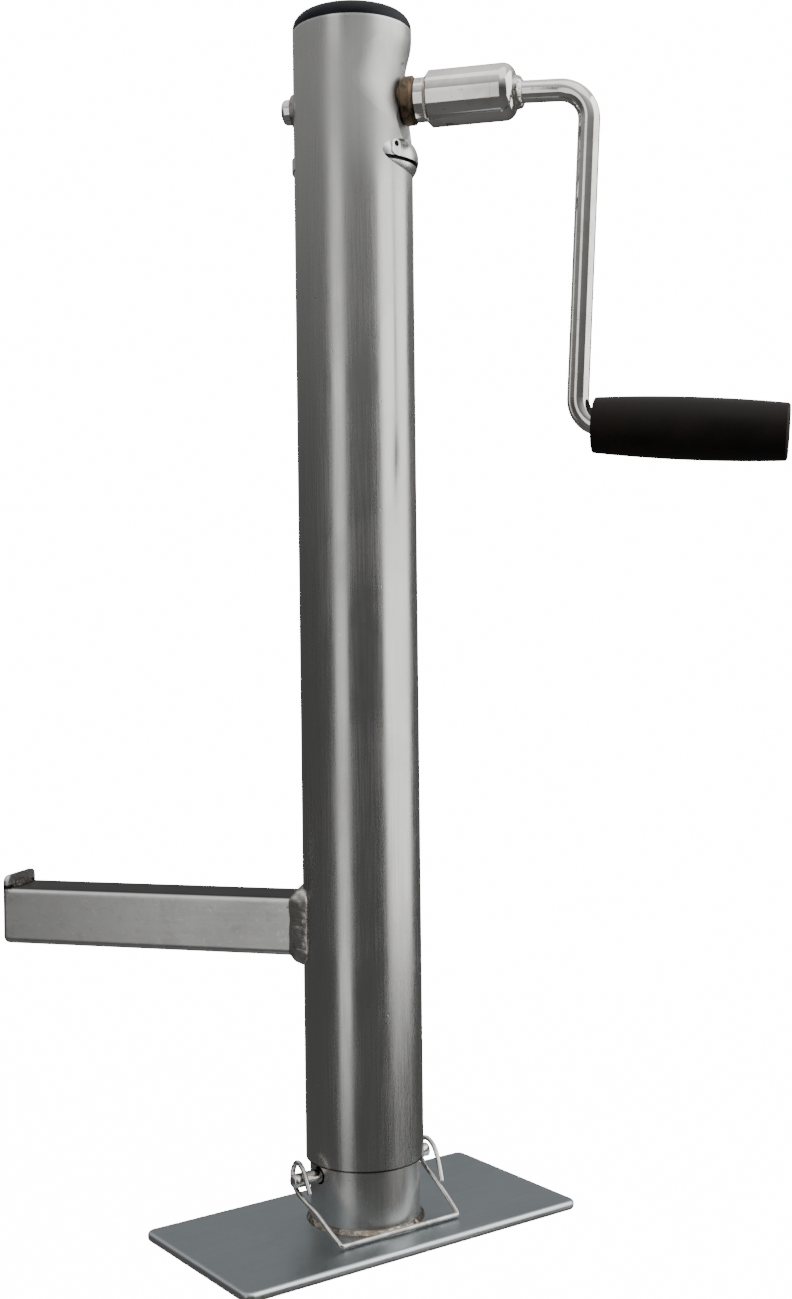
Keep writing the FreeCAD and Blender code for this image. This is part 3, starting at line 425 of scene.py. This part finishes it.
DRESS = {
    ZINC_TUBE: ["outer_tube"],
    ZINC_LEG: ["leg_tube"],
    ZINC_ARM: ["arm_tube", "arm_end_plate"],
    ZINC_SOCKET: ["foot_socket"],
    ZINC_PLATE: ["foot_plate"],
    CLIP_STEEL: ["bearing_clip_right", "bearing_clip_left", "grip_push_nut", "bearing_cage"],
    BRIGHT: ["crank_hub", "crank_rod", "crank_shaft"],
    WIRE: ["lock_pin", "lock_pin_bail"],
    DARK_BUSH: ["crank_bush_outer"],
    PIN_STEEL: ["crank_bush_inner", "pinion_roll_pin", "hub_roll_pin", "gear_roll_pin", "collar_pin",
                "screw_stop_pin", "nut_pins"],
    MACHINED: ["bearing_seat", "bearing_washer_upper", "bearing_washer_lower", "bearing_balls",
               "bevel_pinion", "bevel_gear", "lead_screw", "thrust_collar",
               "screw_stop_collar", "lift_nut"],
    WELD: ["arm_weld", "hub_weld"],
    DARK_WELD: ["foot_weld"],
    SHADED_WELD: ["end_plate_weld"],
    CAP: ["top_cap", "grip_end_plug"],
    GRIP: ["grip"],
    NYLON: ["guide_bush"],
}
for material, names in DRESS.items():
    for name in names:
        mesh = NODES[name].data
        mesh.materials.clear()
        mesh.materials.append(material)


# ---- weld beads ------------------------------------------------------------------------------
def solid_from_sections(name, sections, closed=True):
    """A closed mesh through equal-length closed sections, joined end to end or capped."""
    size = len(sections[0])
    points = [point for section in sections for point in section]
    faces = []
    spans = len(sections) if closed else len(sections) - 1
    for row in range(spans):
        after = (row + 1) % len(sections)
        for column in range(size):
            beside = (column + 1) % size
            faces.append((row * size + column, row * size + beside,
                          after * size + beside, after * size + column))
    if not closed:
        faces.append(tuple(range(size))[::-1])
        faces.append(tuple((len(sections) - 1) * size + column for column in range(size)))
    mesh = bpy.data.meshes.new(name)
    mesh.from_pydata(points, [], faces)
    mesh.validate()
    mesh.update()
    for face in mesh.polygons:
        face.use_smooth = True
    piece = bpy.data.objects.new(name, mesh)
    bpy.context.scene.collection.objects.link(piece)
    return piece


def ripple(turns, across):
    """Height of the crescent ripples that a weld puddle leaves, 0 to 1."""
    phase = (turns + 0.35 * math.sin(math.pi * across)) % 1.0
    return math.sin(math.pi * phase) ** 0.6


def lumps(place, size):
    """Slow, seeded unevenness of about +-1 at a place in metres."""
    return noise.noise(place / size)


def rounded_square(half, corner, share):
    """A point on a rounded square and its outward direction, share running 0 to 1 round it."""
    straight = 2 * (half - corner)
    bend = corner * math.pi / 2
    distance = share * 4 * (straight + bend)
    side = int(distance // (straight + bend)) % 4
    rest = distance % (straight + bend)
    if rest < straight:
        point = Vector((half, rest - straight / 2))
        outward = Vector((1.0, 0.0))
    else:
        angle = (rest - straight) / corner
        outward = Vector((math.cos(angle), math.sin(angle)))
        point = Vector((half - corner, straight / 2)) + corner * outward
    turn = Matrix.Rotation(side * math.pi / 2, 2)
    return turn @ point, turn @ outward


def fillet_section(inner, outer, back, bulge, place, turns, ripple_mm, steps=12):
    """One closed section of a bead: a bulging face from inner to outer and a hidden back."""
    across = outer - inner
    away = (inner + outer) / 2 - back
    away -= across * (away.dot(across) / across.dot(across))
    away.normalize()
    section = []
    for step in range(steps + 1):
        part = step / steps
        rise = bulge * math.sin(math.pi * part)
        rise += ripple_mm * MM * ripple(turns, part) * math.sin(math.pi * part) ** 0.5
        rise += 0.5 * MM * lumps(place + across * part, 3.4 * MM) * math.sin(math.pi * part)
        section.append(inner + across * part + away * rise)
    section.append(back)
    return section


def arm_weld():
    """The lumpy bead between the arm's square end and the round tube."""
    count = 420
    ripples = 30
    sections = []
    for index in range(count):
        share = index / count
        (side, up), (out_side, out_up) = rounded_square(ARM_HALF, 3.5 * MM, share)
        flare = (4.6 + 1.1 * lumps(Vector((side, up, 0.03)), 9 * MM)) * MM
        reach = (1.5 + 0.8 * lumps(Vector((side, up, 0.07)), 6 * MM)) * MM
        far_side = side + flare * out_side
        on_tube = -math.sqrt(TUBE_R ** 2 - far_side ** 2) + 0.3 * MM
        inner = Vector((ARM_HIGH.x - reach, side - 0.15 * MM * out_side,
                        ARM_MIDDLE_Z + up - 0.15 * MM * out_up))
        outer = Vector((on_tube, far_side, ARM_MIDDLE_Z + up + flare * out_up))
        near_side = side - 2 * MM * out_side
        back = Vector((-math.sqrt(TUBE_R ** 2 - near_side ** 2) + 1.0 * MM, near_side,
                       ARM_MIDDLE_Z + up - 2 * MM * out_up))
        sections.append(fillet_section(inner, outer, back, 0.9 * MM, inner, share * ripples, 0.14))
    return solid_from_sections("arm_weld_bead", sections)


def ring_bead(name, centre, axis, side, inner, outer, back, ripples, bulge, ripple_mm, count=300):
    """A bead round an axis; inner, outer and back are (radius, distance along the axis)."""
    other = axis.cross(side)
    sections = []
    for index in range(count):
        angle = 2 * math.pi * index / count
        outward = side * math.cos(angle) + other * math.sin(angle)

        def place(pair, wobble=0.0):
            return centre + outward * (pair[0] + wobble) + axis * pair[1]

        wobble = 0.35 * MM * lumps(outward * 0.02, 4 * MM)
        sections.append(fillet_section(place(inner), place(outer, wobble), place(back), bulge,
                                       place(outer), ripples * index / count, ripple_mm))
    return solid_from_sections(name, sections)


def foot_weld():
    return ring_bead("foot_weld_bead", Vector((0, 0, PLATE_TOP)), Vector((0, 0, 1)),
                     Vector((1, 0, 0)), (SOCKET_R - 0.1 * MM, 2.3 * MM),
                     (SOCKET_R + 2.2 * MM, -0.1 * MM), (SOCKET_R - 0.6 * MM, -0.1 * MM),
                     34, 0.15 * MM, 0.10, count=420)


def hub_weld():
    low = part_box("hub_weld")[0]
    rod_r = 5.4 * MM
    centre = Vector((low.x, 0, SHAFT_Z - 0.8 * MM))
    return ring_bead("hub_weld_bead", centre, Vector((1, 0, 0)), Vector((0, 1, 0)),
                     (8.2 * MM, -0.3 * MM), (rod_r - 0.1 * MM, 3.8 * MM), (rod_r - 1.2 * MM, 0.0),
                     11, 0.9 * MM, 0.40, count=200)


def end_plate_weld():
    """The short bead in the corner of the arm's top and the end plate's lip."""
    low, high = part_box("end_plate_weld")
    count = 70
    sections = []
    for index in range(count):
        part = index / (count - 1)
        swell = min(1.0, 5.0 * min(part, 1 - part) + 0.15)
        y = low.y + (high.y - low.y) * part
        inner = Vector((low.x - 0.1 * MM, y, low.z + 2.8 * MM * swell))
        outer = Vector((low.x + 3.3 * MM * swell, y, low.z - 0.1 * MM))
        back = Vector((low.x - 0.3 * MM, y, low.z - 0.3 * MM))
        sections.append(fillet_section(inner, outer, back, 0.4 * MM * swell, inner, part * 8, 0.3))
    return solid_from_sections("end_plate_weld_bead", sections, closed=False)


for make, node, body in ((arm_weld, "arm_weld", "housing"), (foot_weld, "foot_weld", "leg"),
                         (hub_weld, "hub_weld", "crank"),
                         (end_plate_weld, "end_plate_weld", "housing")):
    bead = make()
    bead.data.materials.append(NODES[node].data.materials[0])
    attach(bead, body)
    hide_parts(node)


# ---- wire bail -------------------------------------------------------------------------------
def wire(name, points, radius, material):
    """A round wire on a smooth curve through its control points."""
    curve = bpy.data.curves.new(name, "CURVE")
    curve.dimensions = "3D"
    curve.bevel_depth = radius
    curve.bevel_resolution = 6
    curve.resolution_u = 10
    curve.use_fill_caps = True
    spline = curve.splines.new("NURBS")
    spline.points.add(len(points) - 1)
    for control, point in zip(spline.points, points):
        control.co = (*point, 1.0)
    spline.order_u = 3
    spline.use_endpoint_u = True
    curve.materials.append(material)
    piece = bpy.data.objects.new(name, curve)
    bpy.context.scene.collection.objects.link(piece)
    return piece


def bail():
    """One wire: a loop through each end of the pin, two legs and the bottom bar."""
    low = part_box("lock_pin_bail")[0]
    radius = 1.25 * MM
    front = Vector((PIN_DIRECTION.y, -PIN_DIRECTION.x, 0))
    drop = PIN_Z - low.z - radius
    hang = math.radians(53.3)
    leg = drop / math.cos(hang)
    down = front * math.sin(hang) - Vector((0, 0, 1)) * math.cos(hang)
    over = front * math.cos(hang) + Vector((0, 0, 1)) * math.sin(hang)
    centre = Vector((0, 0, PIN_Z))

    def at(along, distance, aside=0.0):
        """A point along the pin, down the bail's plane and out of that plane, in mm."""
        return centre + (PIN_DIRECTION * along + down * distance + over * aside) * MM

    # each loop starts at the wire's free end in front of the pin and returns behind it
    left = [(-39.2, 10.0, 1.6), (-39.2, 5.0, 3.8), (-38.6, 0.0, 5.2), (-38.0, -4.5, 5.0),
            (-37.4, -8.4, 3.0), (-37.6, -9.4, 0.0), (-38.8, -7.2, -3.4), (-40.2, -2.0, -5.0),
            (-40.9, 5.0, -4.4), (-40.8, 12.0, -2.2), (-39.8, 20.0, -0.4), (-38.4, 31.0, 0.0)]
    right = [(35.8, 21.0, 1.2), (37.6, 14.5, 3.2), (39.4, 7.0, 4.9), (40.4, 0.5, 5.2),
             (40.6, -4.8, 3.4), (40.0, -6.8, 0.0), (38.8, -5.0, -3.4), (37.2, 0.5, -5.0),
             (35.8, 6.0, -4.2), (34.8, 12.0, -2.2), (34.5, 19.0, -0.6), (34.8, 31.0, 0.0)]
    corner = 3.2
    reach = leg / MM
    bar = [(-37.0, reach - corner, 0.0), (-36.6, reach, 0.0), (corner - 36.6, reach, 0.0),
           (0.0, reach, 0.0), (34.6 - corner, reach, 0.0), (34.6, reach, 0.0),
           (34.8, reach - corner, 0.0)]
    return wire("lock_pin_bail_wire", [at(*place) for place in left + bar + right[::-1]], radius, WIRE)


bail_wire = bail()
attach(bail_wire, "lock")
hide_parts("lock_pin_bail")


# ---- camera ----------------------------------------------------------------------------------
CAMERA_PLACE = Vector((0.2327, -0.7921, 0.3074))
CAMERA_YAW = math.radians(15.07)
CAMERA_PITCH = math.radians(-0.98)
CAMERA_ROLL = math.radians(-0.65)
camera_data = bpy.data.cameras.new("camera")
camera_data.lens = 45.06
camera_data.sensor_width = 36.0
camera = bpy.data.objects.new("camera", camera_data)
camera.matrix_world = (Matrix.Translation(CAMERA_PLACE) @ Matrix.Rotation(CAMERA_YAW, 4, "Z")
                       @ Matrix.Rotation(math.pi / 2 + CAMERA_PITCH, 4, "X")
                       @ Matrix.Rotation(CAMERA_ROLL, 4, "Z"))
bpy.context.scene.collection.objects.link(camera)
bpy.context.scene.camera = camera


# ---- surroundings ----------------------------------------------------------------------------
GROUND_TONE = (0.12, 0.12, 0.12)        # what the metal sees below, level with it and overhead
ROOM_TONE = (0.16, 0.16, 0.155)
CEILING_TONE = (0.08, 0.08, 0.08)
WHITE_BACKDROP = 16.0


def surroundings():
    """A plain grey room, seen by the metal, and a white backdrop, seen by the camera."""
    world = bpy.data.worlds.new("studio")
    bpy.context.scene.world = world
    world.use_nodes = True
    tree = world.node_tree
    nodes = tree.nodes
    link = tree.links.new
    nodes.clear()
    coordinate = nodes.new("ShaderNodeTexCoord")
    split = nodes.new("ShaderNodeSeparateXYZ")
    link(coordinate.outputs["Generated"], split.inputs[0])
    share = nodes.new("ShaderNodeMapRange")
    link(split.outputs["Z"], share.inputs["Value"])
    share.inputs["From Min"].default_value = -1.0
    ramp = nodes.new("ShaderNodeValToRGB")
    ramp.color_ramp.interpolation = "EASE"
    low, high = ramp.color_ramp.elements
    level = ramp.color_ramp.elements.new(0.5)
    for element, tone in ((low, GROUND_TONE), (level, ROOM_TONE), (high, CEILING_TONE)):
        element.color = (*tone, 1.0)
    link(share.outputs[0], ramp.inputs["Fac"])
    room = nodes.new("ShaderNodeBackground")
    link(ramp.outputs["Color"], room.inputs["Color"])
    backdrop = nodes.new("ShaderNodeBackground")
    backdrop.inputs["Color"].default_value = (1, 1, 1, 1)
    backdrop.inputs["Strength"].default_value = WHITE_BACKDROP
    path = nodes.new("ShaderNodeLightPath")
    choose = nodes.new("ShaderNodeMixShader")
    link(path.outputs["Is Camera Ray"], choose.inputs[0])
    link(room.outputs[0], choose.inputs[1])
    link(backdrop.outputs[0], choose.inputs[2])
    output = nodes.new("ShaderNodeOutputWorld")
    link(choose.outputs[0], output.inputs["Surface"])


def floor():
    """A pale round floor, at the end of the leg's travel, that fades into the backdrop."""
    steps = 96
    radius = 2.4
    level = cad_box[0][2] - LEG_TRAVEL - 0.3 * MM
    ring = [(radius * math.cos(2 * math.pi * k / steps), radius * math.sin(2 * math.pi * k / steps),
             level) for k in range(steps)]
    mesh = bpy.data.meshes.new("floor")
    mesh.from_pydata(ring, [], [tuple(range(steps))])
    ground = bpy.data.objects.new("floor", mesh)
    bpy.context.scene.collection.objects.link(ground)
    g = Graph("floor")
    tone = g.noise(g.where((3, 3, 3)), detail=2.0)
    colour = g.mix(g.span(tone, 0.3, 0.7), (0.86, 0.86, 0.86), (0.90, 0.90, 0.90))
    away = g.node("ShaderNodeVectorMath", operation="LENGTH")
    g.plug(away, 0, g.where())
    fade = g.span(away.outputs["Value"], 0.5, 2.2, 1.0, 0.0)
    g.finish(colour, 0.6, metallic=0.0)
    g.plug(g.shader, "Alpha", fade)
    g.plug(g.shader, "Emission Color", (1, 1, 1, 1))
    g.plug(g.shader, "Emission Strength", WHITE_BACKDROP - 1.0)
    mesh.materials.append(g.material)
    ground.visible_diffuse = False
    ground.visible_glossy = False


def soft_light(name, degrees, distance, height, size, power):
    """A large soft box, turned to the jack; degrees are to the right of the camera's bearing."""
    data = bpy.data.lights.new(name, "AREA")
    data.shape = "RECTANGLE"
    data.size, data.size_y = size
    data.energy = power
    bearing = math.atan2(CAMERA_PLACE.y, CAMERA_PLACE.x) + math.radians(degrees)
    place = Vector((distance * math.cos(bearing), distance * math.sin(bearing), height))
    light = bpy.data.objects.new(name, data)
    light.location = place
    aim = Vector((0, 0, TUBE_HIGH.z / 2)) - place
    light.rotation_euler = aim.to_track_quat("-Z", "Y").to_euler()
    light.visible_camera = False
    bpy.context.scene.collection.objects.link(light)


surroundings()
floor()
soft_light("key_soft", 82.0, 1.6, 0.8, (2.2, 2.2), 30.0)
soft_light("fill_soft", -34.0, 1.5, 0.4, (0.6, 1.6), 3.0)
soft_light("top_soft", 20.0, 0.8, 2.0, (1.6, 1.6), 6.0)
